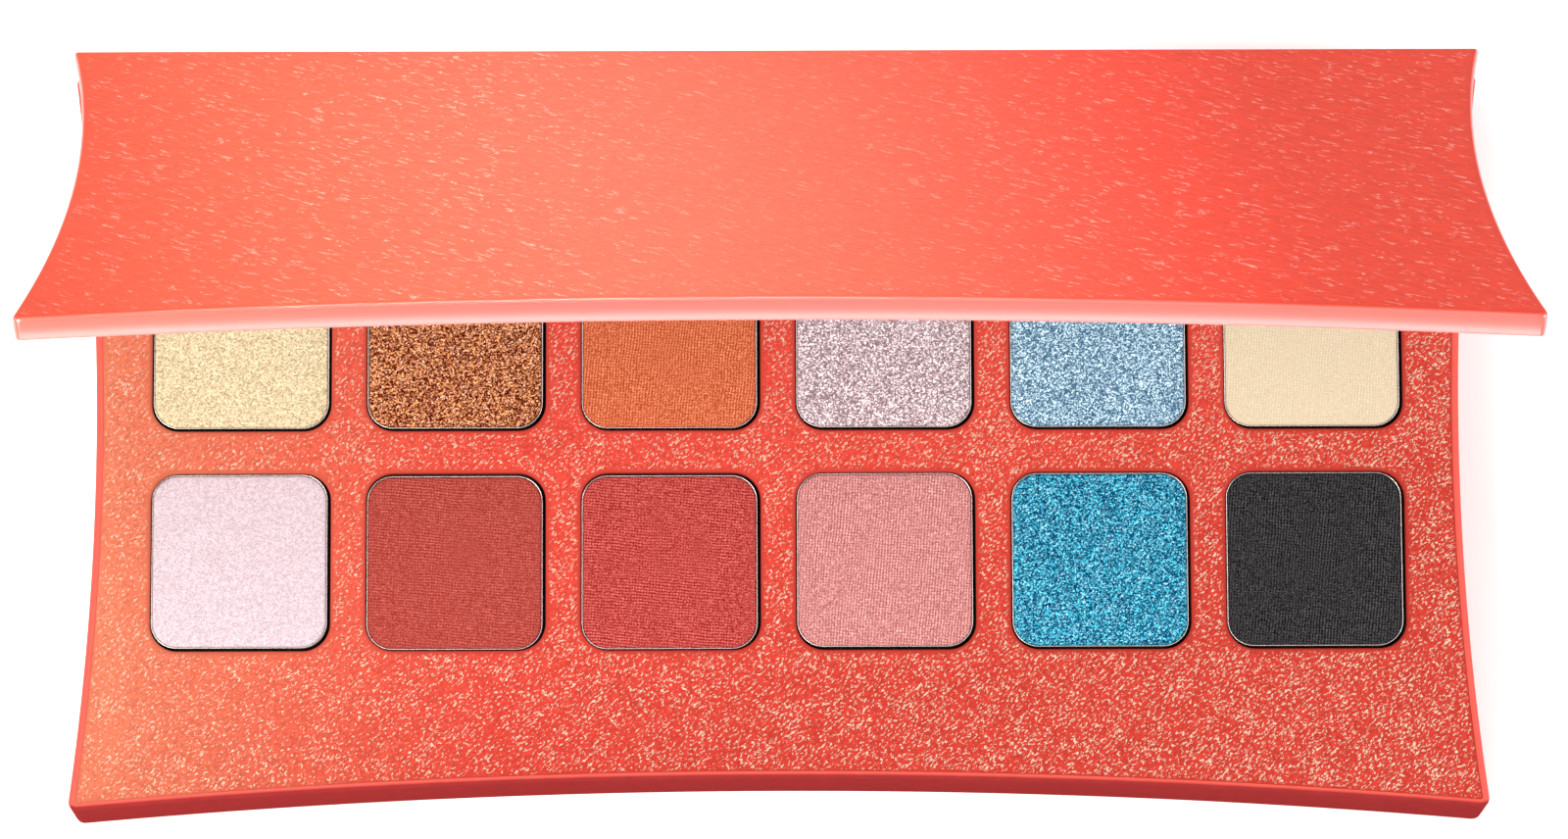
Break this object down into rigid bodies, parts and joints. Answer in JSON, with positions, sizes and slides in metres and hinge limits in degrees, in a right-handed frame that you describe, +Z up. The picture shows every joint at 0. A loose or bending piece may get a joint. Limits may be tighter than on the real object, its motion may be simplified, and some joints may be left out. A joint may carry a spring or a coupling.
{
  "type": "eyeshadow palette",
  "caption": "Slim clamshell makeup palette with pinched sides: square pressed-powder pans sit in a textured face plate under a mirrored lid on hinge pins, closed by magnets.",
  "frame": {"origin": "middle of the base's underside, where it rests on a table", "axes": "+X along the hinge to the right as seen by the user, +Y from the front edge to the hinge, +Z up out of the powders"},
  "size_m": [0.199, 0.1081, 0.1009],
  "materials": {
    "coral_case": "satin moulded, coral, with a fine leather-like texture on the lid's face",
    "coral_plate": "satin, coral, with a fine crackle texture and pale flecks",
    "black_tray": "matt black moulded",
    "tinplate": "bright drawn sheet",
    "mirror_glass": "polished",
    "foam_tape": "thin double-sided tape",
    "magnet": "nickel plated",
    "pin_steel": "drawn wire",
    "pale_gold": "pressed shimmer powder",
    "bronze": "pressed glitter powder",
    "burnt_orange": "pressed matt powder",
    "lilac": "pressed shimmer powder",
    "sky_blue": "pressed shimmer powder",
    "cream": "pressed matt powder",
    "pearl": "pressed pearl powder",
    "brick": "pressed matt powder",
    "crimson": "pressed matt powder",
    "rose": "pressed matt powder",
    "turquoise": "pressed metallic powder",
    "charcoal": "pressed matt powder"
  },
  "bodies": {
    "base": {"base_shell": "coral_case", "face_plate": "coral_plate", "pan_tray": "black_tray", "pan_front_1": "tinplate", "pan_front_2": "tinplate", "pan_front_3": "tinplate", "pan_front_4": "tinplate", "pan_front_5": "tinplate", "pan_front_6": "tinplate", "pan_back_1": "tinplate", "pan_back_2": "tinplate", "pan_back_3": "tinplate", "pan_back_4": "tinplate", "pan_back_5": "tinplate", "pan_back_6": "tinplate", "powder_front_1": "pearl", "powder_front_2": "brick", "powder_front_3": "crimson", "powder_front_4": "rose", "powder_front_5": "turquoise", "powder_front_6": "charcoal", "powder_back_1": "pale_gold", "powder_back_2": "bronze", "powder_back_3": "burnt_orange", "powder_back_4": "lilac", "powder_back_5": "sky_blue", "powder_back_6": "cream", "base_magnet_left": "magnet", "base_magnet_right": "magnet", "hinge_pin_left": "pin_steel", "hinge_pin_right": "pin_steel"},
    "lid": {"lid_shell": "coral_case", "mirror_frame": "coral_case", "mirror": "mirror_glass", "mirror_tape": "foam_tape", "lid_magnet_left": "magnet", "lid_magnet_right": "magnet"}
  },
  "joints": [
    {"name": "lid_hinge", "type": "hinge", "parent": "base", "child": "lid", "pos_m": [0, 0.0501, 0.0115], "axis": [-1, 0, 0], "range_deg": [-57.5, 62.5]}
  ]
}
